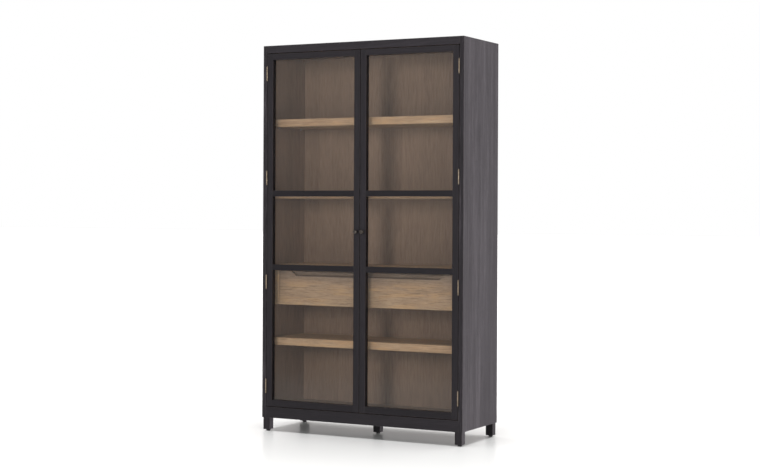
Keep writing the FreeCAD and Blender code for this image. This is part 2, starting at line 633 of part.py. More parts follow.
def hinge_screw(s, outer, zc, dz):
    face = s * (SIDE.v - lt) if outer else s * (XH.v + lt)
    d = Vector(s, 0, 0) if outer else Vector(-s, 0, 0)
    a = wood_screw(val("hinge_screw_head"), val("hinge_screw_rad"), lt, val("hinge_screw_len"))
    a.Placement = Placement(Vector(face, Y0.v + val("hinge_screw_deep"), zc + dz), Rotation(Vector(0, 0, 1), d))
    return a


def pin(s, zc):
    """Pin with a turned tip at each end."""
    pr = val("pin_rad")
    h = hl / 2
    p = [Vector(0, 0, -h - 4.6), Vector(1.3, 0, -h - 4.6), Vector(2.6, 0, -h - 3.6), Vector(2.9, 0, -h - 2.4), Vector(2.4, 0, -h - 1.3),
         Vector(1.9, 0, -h - 0.8), Vector(3.1, 0, -h - 0.6), Vector(3.1, 0, -h - 0.05), Vector(pr, 0, -h - 0.05)]
    up = [Vector(v.x, 0, -v.z) for v in reversed(p)]
    face = Part.Face(Part.makePolygon(p + up + [p[0]]))
    t = face.revolve(Vector(0, 0, 0), Vector(0, 0, 1), 360)
    t.translate(Vector(s * hx, Y0.v - bo, zc))
    return t


frame_leaves, pins, frame_screws = [], [], []
for s, side in ((-1, "left"), (1, "right")):
    leaves, screws = [], []
    for zh in HINGES:
        frame_leaves.append(leaf(s, True, KN_FRAME, zh.v))
        leaves.append(leaf(s, False, KN_DOOR, zh.v))
        pins.append(pin(s, zh.v))
        for dz in (-17.5, 17.5):
            frame_screws.append(hinge_screw(s, True, zh.v, dz))
            screws.append(hinge_screw(s, False, zh.v, dz))
    group("door_%s_hinge_leaves" % side, leaves)
    group("door_%s_hinge_screws" % side, screws)
group("hinge_frame_leaves", frame_leaves)
group("hinge_pins", pins)
group("hinge_frame_screws", frame_screws)

# --- knobs, catches -----------------------------------------------------------
for s, side in ((-1, "left"), (1, "right")):
    name = "door_%s_knob" % side
    b = new_body(name)
    sk = sketch_on(b, name + "_profile", "XZ_Plane")
    kr, ko, kn, ks, kd = q("knob_rad"), q("knob_out"), q("knob_neck"), q("knob_stud"), q("knob_stud_rad")
    outline(sk, [(ZERO, -ks), (kd, -ks), (kd, ZERO), (kn + 2.5, ZERO), (kn + 2.5, num(1.5)), (kn, num(3.5)), (kn, num(9.0)),
                 (kr - 3.5, num(11.0)), (kr, num(14.0)), (kr, num(18.0)), (kr - 2.5, ko - 1.6), (kr - 6.5, ko), (ZERO, ko)])
    rv = b.newObject("PartDesign::Revolution", name + "_turned")
    rv.Profile = sk
    rv.ReferenceAxis = (sk, ["V_Axis"])
    rv.Angle = 360
    b.Tip = rv
    doc.recompute()
    # the turned axis (local +Z) points out of the door's front
    place(b, (XM + sw / 2) * s, Y0, q("knob_z"), Rotation(Vector(1, 0, 0), 90))
    keep(b, name)
    x0 = (q("strike_x") - q("strike_len") / 2) if s > 0 else -(q("strike_x") + q("strike_len") / 2)
    board("door_%s_strike_plate" % side, x0, x0 + q("strike_len"), dth, dth + q("strike_th"),
          DZ1 - q("strike_height") - 2, DZ1 - 2, num(0.3))
catches = []
for s in (-1, 1):
    x0 = s * val("strike_x") - val("strike_len") / 2
    y0 = Y0.v + val("door_th") + val("strike_th") + val("catch_gap")
    z0 = TOP_IN.v - val("catch_height")
    bx = Part.makeBox(val("strike_len"), val("catch_deep"), val("catch_height"), Vector(x0, y0, z0))
    catches.append(bx.makeFillet(1.5, [e for e in bx.Edges if e.BoundBox.ZMax < z0 + 0.1]))
group("door_catches", catches)

# --- checks and export --------------------------------------------------------
doc.recompute()
bad = [o.Label for o in doc.Objects if "Invalid" in o.State or "Error" in o.State]
if bad:
    raise RuntimeError("failed objects: %s" % bad)
names = [n for n, o in PARTS]
if len(names) != len(set(names)) or len(names) > 60:
    raise RuntimeError("sub-part names: %d" % len(names))
for name, obj in PARTS:
    sh = obj.Shape
    if sh.isNull() or not sh.isValid() or sh.Volume <= 0:
        raise RuntimeError("bad shape: " + name)
os.makedirs("parts", exist_ok=True)
for name, obj in PARTS:
    obj.Shape.exportStep("parts/%s.step" % name)
print("%d sub-parts written" % len(PARTS))
for name, obj in PARTS:
    bb = obj.Shape.BoundBox
    print("%-28s %2d solids  x %8.1f %8.1f  y %7.1f %7.1f  z %7.1f %7.1f  vol %.0f" % (
        name, len(obj.Shape.Solids), bb.XMin, bb.XMax, bb.YMin, bb.YMax, bb.ZMin, bb.ZMax, obj.Shape.Volume))
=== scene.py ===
import bpy
import bmesh
import math
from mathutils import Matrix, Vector


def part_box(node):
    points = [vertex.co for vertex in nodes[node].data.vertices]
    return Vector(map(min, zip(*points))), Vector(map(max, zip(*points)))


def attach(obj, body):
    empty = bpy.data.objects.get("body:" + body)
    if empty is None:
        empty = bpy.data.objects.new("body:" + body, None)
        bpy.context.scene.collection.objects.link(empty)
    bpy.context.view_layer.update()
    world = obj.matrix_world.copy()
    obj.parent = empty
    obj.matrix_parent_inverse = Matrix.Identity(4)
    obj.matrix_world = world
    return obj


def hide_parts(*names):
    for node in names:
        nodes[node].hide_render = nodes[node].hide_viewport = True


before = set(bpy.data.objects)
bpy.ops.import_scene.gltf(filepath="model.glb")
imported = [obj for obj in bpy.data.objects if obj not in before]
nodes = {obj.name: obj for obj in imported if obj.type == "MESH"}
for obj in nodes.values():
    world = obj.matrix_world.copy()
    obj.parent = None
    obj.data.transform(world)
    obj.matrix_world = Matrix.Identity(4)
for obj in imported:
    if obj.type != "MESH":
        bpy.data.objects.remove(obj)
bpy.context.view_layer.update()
scene = bpy.context.scene


# --------------------------------------------------------------------------
# Camera: eye height 1.21 m, a little over 8 m away, 28 degrees round to the right
# --------------------------------------------------------------------------
YAW = math.radians(27.9265)
cam_data = bpy.data.cameras.new("camera")
cam_data.sensor_fit = "HORIZONTAL"
cam_data.sensor_width = 36.0
cam_data.lens = 73.43
cam_data.shift_y = -0.03801
cam_data.clip_start, cam_data.clip_end = 0.1, 200.0
cam = bpy.data.objects.new("camera", cam_data)
scene.collection.objects.link(cam)
cam.location = (3.915617, -7.377471, 1.210587)
cam.rotation_mode = "XYZ"
cam.rotation_euler = (math.pi / 2, -0.00455, YAW)
scene.camera = cam


# --------------------------------------------------------------------------
# A small writer of node trees
# --------------------------------------------------------------------------
def srgb(r, g, b):
    def lin(c):
        c /= 255.0
        return c / 12.92 if c <= 0.04045 else ((c + 0.055) / 1.055) ** 2.4
    return (lin(r), lin(g), lin(b), 1.0)


class Tree:
    def __init__(self, name):
        self.mat = bpy.data.materials.new(name)
        self.mat.use_nodes = True
        self.nt = self.mat.node_tree
        self.nt.nodes.clear()
        self.out = self.nt.nodes.new("ShaderNodeOutputMaterial")
        self.co = None

    def put(self, socket, value):
        if value is None:
            return
        if isinstance(value, bpy.types.NodeSocket):
            self.nt.links.new(value, socket)
        else:
            socket.default_value = value

    def node(self, kind, **props):
        made = self.nt.nodes.new(kind)
        for k, v in props.items():
            setattr(made, k, v)
        return made

    def m(self, op, a, b=None, c=None, clamp=False):
        n = self.node("ShaderNodeMath", operation=op, use_clamp=clamp)
        for i, v in enumerate((a, b, c)):
            self.put(n.inputs[i], v) if v is not None else None
        return n.outputs[0]

    def vm(self, op, a, b=None):
        n = self.node("ShaderNodeVectorMath", operation=op)
        self.put(n.inputs[0], a)
        if b is not None:
            self.put(n.inputs[1], b)
        return n.outputs[0]

    def xyz(self, v):
        n = self.node("ShaderNodeSeparateXYZ")
        self.put(n.inputs[0], v)
        return n.outputs[0], n.outputs[1], n.outputs[2]

    def join(self, x, y, z):
        n = self.node("ShaderNodeCombineXYZ")
        for i, v in enumerate((x, y, z)):
            self.put(n.inputs[i], v)
        return n.outputs[0]

    def place(self):
        """The piece's own coordinates, in metres."""
        if self.co is None:
            self.co = self.node("ShaderNodeTexCoord").outputs["Object"]
        return self.co

    def noise(self, vector, scale=1.0, detail=2.0, rough=0.5, distort=0.0, out=0):
        n = self.node("ShaderNodeTexNoise")
        self.put(n.inputs["Vector"], vector)
        n.inputs["Scale"].default_value = scale
        n.inputs["Detail"].default_value = detail
        n.inputs["Roughness"].default_value = rough
        n.inputs["Distortion"].default_value = distort
        return n.outputs[out]

    def white(self, value, out="Value"):
        n = self.node("ShaderNodeTexWhiteNoise", noise_dimensions="1D")
        self.put(n.inputs["W"], value)
        return n.outputs[out]

    def span(self, v, a, b, lo=0.0, hi=1.0, kind="SMOOTHSTEP"):
        n = self.node("ShaderNodeMapRange", interpolation_type=kind)
        n.clamp = True if kind == "LINEAR" else n.clamp
        for i, x in enumerate((v, a, b, lo, hi)):
            self.put(n.inputs[i], x)
        return n.outputs[0]

    def mix(self, fac, a, b, blend="MIX"):
        n = self.node("ShaderNodeMix", data_type="RGBA", blend_type=blend)
        self.put(n.inputs[0], fac)
        self.put(n.inputs[6], a)
        self.put(n.inputs[7], b)
        return n.outputs[2]

    def mixf(self, fac, a, b):
        n = self.node("ShaderNodeMix", data_type="FLOAT")
        self.put(n.inputs[0], fac)
        self.put(n.inputs[2], a)
        self.put(n.inputs[3], b)
        return n.outputs[0]

    def ramp(self, fac, stops):
        n = self.node("ShaderNodeValToRGB")
        self.put(n.inputs[0], fac)
        e = n.color_ramp.elements
        e[0].position, e[0].color = stops[0]
        e[1].position, e[1].color = stops[-1]
        for p, c in stops[1:-1]:
            made = e.new(p)
            made.color = c
        return n.outputs[0]

    def bump(self, height, strength, distance, normal=None):
        n = self.node("ShaderNodeBump")
        n.inputs["Strength"].default_value = strength
        n.inputs["Distance"].default_value = distance
        self.put(n.inputs["Height"], height)
        if normal is not None:
            self.put(n.inputs["Normal"], normal)
        return n.outputs[0]

    def surface(self, shader):
        self.nt.links.new(shader, self.out.inputs["Surface"])


# --------------------------------------------------------------------------
# Oak: growth rings about a pith, open pores, fibre, streaks and rubbed edges
# --------------------------------------------------------------------------
LIGHT = dict(
    dark=srgb(136, 103, 76), mid=srgb(178, 144, 112), pale=srgb(204, 173, 142),
    pore=srgb(92, 68, 48), wear=srgb(194, 162, 130), rough=0.52, spec=0.35, tint=(1.0, 1.0, 1.0, 1.0),
    bump=0.55, streak=0.26, ring=0.06, short=0.34, tone=0.20, pores=0.55, wearing=0.30,
    gold=srgb(206, 160, 114), warm=0.45, dash=0.42, cloud=0.30,
)
DRAWER = dict(
    dark=srgb(136, 106, 82), mid=srgb(176, 145, 116), pale=srgb(208, 177, 144),
    pore=srgb(94, 71, 52), wear=srgb(196, 166, 134), rough=0.52, spec=0.35, tint=(1.0, 1.0, 1.0, 1.0),
    bump=0.55, streak=0.20, ring=0.0, short=0.32, tone=0.20, pores=0.55, wearing=0.30,
    gold=srgb(208, 164, 116), warm=0.55, dash=0.46, cloud=0.36,
)
# a darker, greyer copy of DRAWER, used as painted shade on the drawer front's top band and on the recessed box front
DRAWER_PAINTED_SHADE = dict(
    DRAWER, dark=srgb(108, 86, 71), mid=srgb(142, 118, 100), pale=srgb(166, 142, 123), pore=srgb(76, 58, 46), wear=srgb(158, 136, 116),
    gold=srgb(160, 132, 106), warm=0.25,
)
# a much darker copy of DRAWER, used as a painted shadow line along the finger groove
GROOVE_PAINTED_SHADOW = dict(
    DRAWER, dark=srgb(84, 66, 54), mid=srgb(114, 93, 78), pale=srgb(136, 114, 97), pore=srgb(58, 45, 37), wear=srgb(122, 101, 86),
    gold=srgb(118, 95, 76), warm=0.2,
)
INNER = dict(
    dark=srgb(99, 77, 62), mid=srgb(127, 103, 86), pale=srgb(149, 124, 105),
    pore=srgb(68, 53, 43), wear=srgb(141, 118, 99), rough=0.55, spec=0.30, tint=(1.0, 1.0, 1.0, 1.0),
    bump=0.45, streak=0.14, ring=0.03, short=0.30, tone=0.08, pores=0.38, wearing=0.15,
    gold=srgb(134, 110, 90), warm=0.20, dash=0.16, cloud=0.34,
)
BLACK = dict(
    dark=srgb(15, 14, 16), mid=srgb(23, 21, 24), pale=srgb(36, 33, 37),
    pore=srgb(8, 7, 8), wear=srgb(66, 59, 56), rough=0.44, spec=0.42, tint=(1.0, 0.93, 1.0, 1.0),
    bump=0.75, streak=0.46, ring=0.22, short=0.30, tone=0.26, pores=0.65, wearing=0.45,
    gold=srgb(30, 27, 30), warm=0.30, dash=0.30, cloud=0.30,
)
# the same finish on the big panels, where the stain sits unevenly along the grain
PANEL = dict(BLACK, dark=srgb(8, 7, 9), mid=srgb(24, 22, 25), pale=srgb(58, 54, 58), streak=0.56, short=0.44, tone=0.16, cloud=0.60, bump=0.9)
AXES = {"X": (1, 2, 0), "Y": (2, 0, 1), "Z": (0, 1, 2)}


def grain(t, axis, seed, pith, strip=None):
    """Grain fields of one board. axis runs along the grain; pith is where the log's heart lies, in metres, across it."""
    c = t.xyz(t.place())
    u, v, w = (c[i] for i in AXES[axis])
    tone = None
    if strip:
        across, width = strip
        wob = t.noise(t.vm("MULTIPLY", t.place(), (3.0, 3.0, 3.0)), 1.0, 1.0)
        place = t.m("DIVIDE", t.m("ADD", c["XYZ".index(across)], seed * 0.217), width)
        index = t.m("FLOOR", t.m("ADD", place, t.m("MULTIPLY", t.m("SUBTRACT", wob, 0.5), 0.04)))
        tone = t.white(t.m("ADD", index, seed * 3.7))
        shift = t.white(t.m("ADD", index, seed * 1.3 + 40.0))
        w = t.m("ADD", w, t.m("MULTIPLY", shift, 7.0))
        v = t.m("ADD", v, t.m("MULTIPLY", t.m("SUBTRACT", shift, 0.5), 0.10))
    p = t.join(u, v, w)
    q = t.vm("ADD", p, (seed * 1.713 + 3.1, seed * 0.937 + 1.7, seed * 2.311 + 5.3))
    far = t.noise(t.vm("MULTIPLY", q, (2.6, 2.6, 0.55)), 1.0, 2.0)
    near = t.noise(t.vm("MULTIPLY", q, (17.0, 17.0, 1.6)), 1.0, 2.0)
    radius = t.m("SQRT", t.m("ADD", t.m("POWER", t.m("SUBTRACT", u, pith[0]), 2.0), t.m("POWER", t.m("SUBTRACT", v, pith[1]), 2.0)))
    radius = t.m("ADD", radius, t.m("MULTIPLY", far, 0.090))
    radius = t.m("ADD", radius, t.m("MULTIPLY", near, 0.0070))
    turns = t.m("DIVIDE", radius, 0.0062)
    part = t.m("FRACT", turns)
    year = t.white(t.m("ADD", t.m("FLOOR", turns), seed))
    early = t.m("MULTIPLY", t.span(part, 0.0, 0.08), t.span(part, 0.52, 0.18))
    ring = t.m("ADD", t.m("MULTIPLY", early, 0.7), t.m("MULTIPLY", year, 0.45))
    broad = t.noise(t.vm("MULTIPLY", q, (11.0, 11.0, 0.75)), 1.0, 3.0, 0.55)
    fine = t.noise(t.vm("MULTIPLY", q, (75.0, 75.0, 2.2)), 1.0, 3.0, 0.6)
    fibre = t.noise(t.vm("MULTIPLY", q, (620.0, 620.0, 14.0)), 1.0, 2.0, 0.6)
    short = t.span(t.noise(t.vm("MULTIPLY", q, (130.0, 130.0, 13.0)), 1.0, 3.0, 0.66), 0.30, 0.70, 0.0, 1.0, "LINEAR")
    dots = t.noise(t.vm("MULTIPLY", q, (1500.0, 1500.0, 42.0)), 1.0, 1.0, 0.5)
    pores = t.span(dots, t.mixf(early, 0.66, 0.55), t.mixf(early, 0.76, 0.66))
    flecks = t.span(t.noise(t.vm("MULTIPLY", q, (160.0, 34.0, 26.0)), 1.0, 1.0, 0.4), 0.66, 0.76)
    blotch = t.noise(t.vm("MULTIPLY", q, (3.4, 3.4, 2.0)), 1.0, 2.0, 0.5)
    dashes = t.span(t.noise(t.vm("MULTIPLY", q, (230.0, 230.0, 13.0)), 1.0, 2.0, 0.6), 0.56, 0.70)
    golden = t.span(t.noise(t.vm("MULTIPLY", q, (31.0, 31.0, 5.5)), 1.0, 2.0, 0.55), 0.46, 0.66)
    return dict(ring=ring, early=early, broad=broad, fine=fine, fibre=fibre, short=short, pores=pores, flecks=flecks, blotch=blotch, dashes=dashes, golden=golden, tone=tone)


def finish_of(t, g, look, edge, contrast=1.0, gain=1.0):
    """Colour and roughness of one look over the board's grain."""
    def centred(v, amount):
        return t.m("MULTIPLY", t.m("SUBTRACT", v, 0.5), amount * contrast)
    k = t.m("ADD", 0.5, centred(g["broad"], look["streak"] * 1.5))
    k = t.m("ADD", k, centred(g["fine"], look["streak"] * 1.15))
    k = t.m("ADD", k, centred(g["fibre"], look["streak"] * 0.55))
    k = t.m("ADD", k, centred(g["short"], look["short"]))
    k = t.m("ADD", k, centred(g["blotch"], look["cloud"]))
    k = t.m("SUBTRACT", k, centred(g["ring"], look["ring"]))
    if g["tone"] is not None:
        k = t.m("ADD", k, centred(g["tone"], look["tone"]))
    k = t.m("ADD", k, t.m("MULTIPLY", g["flecks"], 0.07))
    def dim(c):
        return (c[0] * gain, c[1] * gain, c[2] * gain, 1.0)
    colour = t.ramp(k, [(0.12, dim(look["dark"])), (0.5, dim(look["mid"])), (0.9, dim(look["pale"]))])
    colour = t.mix(t.m("MULTIPLY", g["golden"], look["warm"]), colour, dim(look["gold"]))
    colour = t.mix(t.m("MULTIPLY", g["dashes"], look["dash"]), colour, dim(look["pore"]))
    colour = t.mix(t.m("MULTIPLY", g["pores"], look["pores"]), colour, dim(look["pore"]))
    worn = t.m("MULTIPLY", edge, look["wearing"])
    colour = t.mix(worn, colour, dim(look["wear"]))
    rough = t.m("ADD", look["rough"], t.m("MULTIPLY", t.m("SUBTRACT", g["fine"], 0.5), -0.22))
    rough = t.m("ADD", rough, t.m("MULTIPLY", t.m("SUBTRACT", g["broad"], 0.5), -0.20))
    rough = t.m("ADD", rough, t.m("MULTIPLY", g["pores"], 0.16))
    rough = t.m("SUBTRACT", rough, t.m("MULTIPLY", worn, 0.10), clamp=True)
    return colour, rough


def edges(t, low, high, q):
    """1 on the arris of the board's box and 0 a few millimetres in, broken up along its length."""
    c = t.xyz(t.place())
    d = [t.m("MINIMUM", t.m("ABSOLUTE", t.m("SUBTRACT", c[i], low[i])), t.m("ABSOLUTE", t.m("SUBTRACT", high[i], c[i]))) for i in range(3)]
    a, b = t.m("MINIMUM", d[0], d[1]), t.m("MAXIMUM", d[0], d[1])
    median = t.m("MAXIMUM", a, t.m("MINIMUM", b, d[2]))
    patch = t.noise(t.vm("MULTIPLY", t.place(), (1.0, 1.0, 1.0)), 23.0, 3.0, 0.6)
    wide = t.m("MULTIPLY", t.span(patch, 0.35, 0.75), 0.0030)
    reach = t.m("ADD", 0.0006, wide)
    return t.span(t.m("DIVIDE", median, reach), 1.0, 0.15)


def wood(node, axis, look, seed, pith, strip=None, inside=None, other=None, contrast=1.0, gain=1.0, spec=1.0):
    """The board's material. inside(t) gives a mask of 1 where the other look shows: lining or paint on the carcass
    boards, painted shade and a painted shadow line on the drawer fronts.
    """
    t = Tree("oak_" + node)
    low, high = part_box(node)
    g = grain(t, axis, seed, pith, strip)
    edge = edges(t, low, high, None)
    colour, rough = finish_of(t, g, look, edge, contrast, gain)
    if inside is not None:
        mask = inside(t)
        colour2, rough2 = finish_of(t, g, other, edge, contrast, gain)
        colour = t.mix(mask, colour, colour2)
        rough = t.mixf(mask, rough, rough2)
    height = t.m("SUBTRACT", t.m("MULTIPLY", g["fibre"], 0.35), g["pores"])
    height = t.m("SUBTRACT", height, t.m("MULTIPLY", g["early"], 0.30))
    normal = t.bump(height, look["bump"], 0.00022)
    p = t.node("ShaderNodeBsdfPrincipled")
    t.put(p.inputs["Base Color"], colour)
    t.put(p.inputs["Roughness"], rough)
    t.put(p.inputs["Normal"], normal)
    p.inputs["Specular IOR Level"].default_value = look["spec"] * spec
    p.inputs["Specular Tint"].default_value = look["tint"]
    p.inputs["IOR"].default_value = 1.5
    t.surface(p.outputs[0])
    return t.mat


def wear_material(node, mat):
    o = nodes[node]
    if not o.material_slots:
        o.data.materials.append(mat)
    for s in o.material_slots:
        s.material = mat


# where the oak lining shows on the carcass boards
def lining_of_side(t):
    x, y, z = t.xyz(t.place())
    inner = t.m("LESS_THAN", t.m("ABSOLUTE", x), 0.5768)
    back = t.m("GREATER_THAN", y, -0.1885)
    rear = t.m("LESS_THAN", y, 0.1880)
    return t.m("MULTIPLY", t.m("MULTIPLY", inner, back), rear)


def lining_of_top(t):
    x, y, z = t.xyz(t.place())
    under = t.m("LESS_THAN", z, 2.0518)
    back = t.m("GREATER_THAN", y, -0.1885)
    rear = t.m("LESS_THAN", y, 0.1880)
    return t.m("MULTIPLY", t.m("MULTIPLY", under, back), rear)


def painted_rear(t):
    x, y, z = t.xyz(t.place())
    return t.m("GREATER_THAN", y, 0.1880)


def painted_under(t):
    x, y, z = t.xyz(t.place())
    return t.m("MAXIMUM", t.m("LESS_THAN", z, 0.1120), t.m("GREATER_THAN", y, 0.1880))


def drawer_top_painted_shade(t):
    """Painted shade: the front turns darker and greyer toward its top, where the door rail in front shades it."""
    x, y, z = t.xyz(t.place())
    wave = t.m("MULTIPLY", t.m("SUBTRACT", t.noise(t.vm("MULTIPLY", t.place(), (9.0, 9.0, 9.0)), 1.0, 2.0), 0.5), 0.012)
    return t.span(t.m("ADD", z, wave), 0.765, 0.850)


def groove_painted_shadow_line(t):
    """Painted shadow: a dark line along the upper edge of the finger groove."""
    x, y, z = t.xyz(t.place())
    wave = t.m("MULTIPLY", t.m("SUBTRACT", t.noise(t.vm("MULTIPLY", t.place(), (14.0, 14.0, 14.0)), 1.0, 2.0), 0.5), 0.003)
    return t.span(t.m("ADD", z, wave), 0.8525, 0.8470)


BOARDS = {
    # node: axis, look, pith (across the grain), strip, inside, other
    "side_panel_left": ("Z", PANEL, (-0.75, 0.10), ("Y", 0.1475), lining_of_side, INNER),
    "side_panel_right": ("Z", PANEL, (0.42, -0.05), ("Y", 0.1475), lining_of_side, INNER),
    "top_panel": ("X", BLACK, (0.06, 1.90), ("Y", 0.1475), lining_of_top, INNER),
    "bottom_panel": ("X", INNER, (-0.10, -0.12), ("Y", 0.1475), painted_under, BLACK),
    "back_panel": ("Z", INNER, (0.02, 0.55), ("X", 0.1310), painted_rear, BLACK),
    "back_rail": ("X", BLACK, (0.05, 1.80), None, None, None),
    "bottom_front_rail": ("X", BLACK, (-0.05, -0.04), None, None, None),
    "bottom_rear_rail": ("X", BLACK, (0.30, -0.10), None, None, None),
    "bottom_stretcher": ("Y", BLACK, (-0.05, 0.10), None, None, None),
    "upper_shelf": ("X", LIGHT, (0.05, 1.55), ("Y", 0.110), None, None),
    "middle_shelf": ("X", LIGHT, (-0.04, 1.38), ("Y", 0.110), None, None),
    "drawer_deck": ("X", LIGHT, (0.10, 0.78), ("Y", 0.110), None, None),
    "lower_shelf": ("X", LIGHT, (-0.08, 0.60), ("Y", 0.110), None, None),
    # the darker look on the drawer front's top band is painted shade from the door rail
    "drawer_front": ("X", DRAWER, (0.03, 0.72), None, drawer_top_painted_shade, DRAWER_PAINTED_SHADE),
    # the box front shows only in the finger pull's recess: its darker look is painted shade there, and the very dark
    # line at the groove's lip is a painted shadow
    "drawer_box_front": ("X", DRAWER_PAINTED_SHADE, (0.10, 0.60), None, groove_painted_shadow_line, GROOVE_PAINTED_SHADOW),
    "drawer_side_left": ("Y", DRAWER, (0.90, -0.45), None, None, None),
    "drawer_side_right": ("Y", DRAWER, (0.66, 0.45), None, None, None),
    "drawer_back": ("X", DRAWER, (0.05, 0.90), None, None, None),
    "drawer_bottom": ("X", DRAWER, (0.05, 0.20), ("Y", 0.120), None, None),
    "drawer_spacer_left": ("Y", DRAWER, (0.60, -0.60), None, None, None),
    "drawer_spacer_right": ("Y", DRAWER, (0.95, 0.62), None, None, None),
    "drawer_runners": ("Y", DRAWER, (0.60, 0.10), None, None, None),
    "leg_front_left": ("Z", BLACK, (-0.52, -0.30), None, None, None),
    "leg_front_right": ("Z", BLACK, (0.66, -0.12), None, None, None),
    "leg_rear_left": ("Z", BLACK, (-0.70, 0.26), None, None, None),
    "leg_rear_right": ("Z", BLACK, (0.50, 0.10), None, None, None),
    "leg_center": ("Z", BLACK, (0.06, 0.08), None, None, None),
}
for side, s in (("left", -1), ("right", 1)):
    BOARDS[f"door_{side}_hinge_stile"] = ("Z", BLACK, (s * 0.50, -0.34), None, None, None)
    BOARDS[f"door_{side}_meeting_stile"] = ("Z", BLACK, (s * 0.10, -0.10), None, None, None)
    for i, r in enumerate(("top_rail", "upper_mid_rail", "lower_mid_rail", "bottom_rail")):
        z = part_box(f"door_{side}_{r}")[0].z
        BOARDS[f"door_{side}_{r}"] = ("X", BLACK, (-0.32 + 0.04 * i, z - 0.10 + 0.05 * i), None, None, None)
    BOARDS[f"door_{side}_glazing_beads"] = ("Z", BLACK, (s * 0.20, -0.36), None, None, None)

# how strongly a board is figured, how light it is, how much it shines
UNLIKE = {
    "upper_shelf": (1.0, 0.83, 1.0), "lower_shelf": (1.0, 0.87, 1.0), "middle_shelf": (1.0, 0.84, 1.0), "drawer_deck": (1.0, 0.84, 1.0),
    "drawer_front": (1.0, 0.80, 1.0), "drawer_box_front": (1.0, 0.74, 1.0), "drawer_spacer_left": (1.0, 0.80, 1.0), "drawer_spacer_right": (1.0, 0.80, 1.0),
    "top_panel": (1.0, 1.20, 1.10), "leg_center": (1.0, 0.6, 0.5), "leg_rear_left": (1.0, 0.7, 0.6), "leg_rear_right": (1.0, 0.7, 0.6),
}
for side in ("left", "right"):
    for r in ("upper_mid_rail", "lower_mid_rail"):
        UNLIKE[f"door_{side}_{r}"] = (1.0, 0.62, 0.86)
    UNLIKE[f"door_{side}_bottom_rail"] = (1.0, 0.72, 0.88)
    for r in ("hinge_stile", "meeting_stile"):
        UNLIKE[f"door_{side}_{r}"] = (1.0, 0.92, 0.96)

for i, (node, (axis, look, pith, strip, inside, other)) in enumerate(sorted(BOARDS.items())):
    wear_material(node, wood(node, axis, look, 1.0 + 0.618 * i, pith, strip, inside, other, *UNLIKE.get(node, (1.0, 1.0, 1.0))))


# --------------------------------------------------------------------------
# Glass, metals, plastic
# --------------------------------------------------------------------------
def glass_material():
    t = Tree("clear_glass")
    p = t.place()
    wave = t.noise(t.vm("MULTIPLY", p, (3.0, 3.0, 1.6)), 1.0, 2.0, 0.45)
    smear = t.noise(t.vm("MULTIPLY", p, (9.0, 9.0, 5.0)), 1.0, 4.0, 0.6)
    normal = t.bump(wave, 0.10, 0.004)
    gloss = t.node("ShaderNodeBsdfAnisotropic")
    gloss.inputs["Color"].default_value = (1.0, 1.0, 1.0, 1.0)
    t.put(gloss.inputs["Roughness"], t.span(smear, 0.35, 0.75, 0.015, 0.07))
    t.put(gloss.inputs["Normal"], normal)
    clear = t.node("ShaderNodeBsdfTransparent")
    t.put(clear.inputs["Color"], t.mix(smear, (0.962, 0.968, 0.962, 1.0), (0.972, 0.978, 0.974, 1.0)))
    f = t.node("ShaderNodeFresnel")
    # rays pass a pane unbent, so its far face reflects by the same law as its near face
    behind = t.node("ShaderNodeNewGeometry").outputs["Backfacing"]
    t.put(f.inputs["IOR"], t.mixf(behind, 1.46, 1.0 / 1.46))
    s = t.node("ShaderNodeMixShader")
    t.put(s.inputs[0], f.outputs[0])
    t.put(s.inputs[1], clear.outputs[0])
    t.put(s.inputs[2], gloss.outputs[0])
    t.surface(s.outputs[0])
    return t.mat


def metal_material(name, base, dark, rough, scale, tarnish, bump=0.25, metallic=1.0):
    t = Tree(name)
    p = t.place()
    cloud = t.noise(p, scale, 4.0, 0.6)
    grit = t.noise(p, scale * 14.0, 2.0, 0.6)
    scratch = t.noise(t.vm("MULTIPLY", p, (2200.0, 2200.0, 90.0)), 1.0, 1.0, 0.5)
    k = t.span(cloud, 0.38, 0.68)
    colour = t.mix(t.m("MULTIPLY", k, tarnish), base, dark)
    colour = t.mix(t.m("MULTIPLY", t.span(grit, 0.55, 0.8), tarnish * 0.5), colour, dark)
    r = t.m("ADD", rough, t.m("MULTIPLY", t.m("SUBTRACT", cloud, 0.5), 0.30))
    r = t.m("ADD", r, t.m("MULTIPLY", t.m("SUBTRACT", grit, 0.5), 0.12), clamp=True)
    height = t.m("ADD", t.m("MULTIPLY", grit, 0.6), t.m("MULTIPLY", scratch, 0.4))
    b = t.node("ShaderNodeBsdfPrincipled")
    t.put(b.inputs["Base Color"], colour)
    b.inputs["Metallic"].default_value = metallic
    t.put(b.inputs["Roughness"], r)
    t.put(b.inputs["Normal"], t.bump(height, bump, 0.00008))
    t.surface(b.outputs[0])
    return t.mat


def plastic_material(name, base, pale, rough):
    t = Tree(name)
    p = t.place()
    cloud = t.noise(p, 60.0, 3.0, 0.55)
    pebble = t.noise(p, 2600.0, 2.0, 0.5)
    scuff = t.span(t.noise(t.vm("MULTIPLY", p, (900.0, 120.0, 300.0)), 1.0, 2.0, 0.6), 0.60, 0.80)
    colour = t.mix(t.m("MULTIPLY", cloud, 0.5), base, pale)
    colour = t.mix(t.m("MULTIPLY", scuff, 0.35), colour, pale)
    b = t.node("ShaderNodeBsdfPrincipled")
    t.put(b.inputs["Base Color"], colour)
    t.put(b.inputs["Roughness"], t.m("ADD", rough, t.m("MULTIPLY", t.m("SUBTRACT", pebble, 0.5), 0.20), clamp=True))
    t.put(b.inputs["Normal"], t.bump(pebble, 0.35, 0.00006))
    b.inputs["Specular IOR Level"].default_value = 0.45
    t.surface(b.outputs[0])
    return t.mat


GLASS = glass_material()
NICKEL = metal_material("dull_warm_nickel", srgb(188, 170, 148), srgb(84, 72, 62), 0.38, 70.0, 0.50)
BRONZE = metal_material("dark_bronze", srgb(98, 92, 88), srgb(38, 35, 33), 0.24, 90.0, 0.55)
STEEL = metal_material("zinc_steel", srgb(176, 178, 180), srgb(112, 112, 114), 0.34, 80.0, 0.40)
PLASTIC = plastic_material("black_plastic", srgb(24, 24, 25), srgb(46, 46, 47), 0.48)

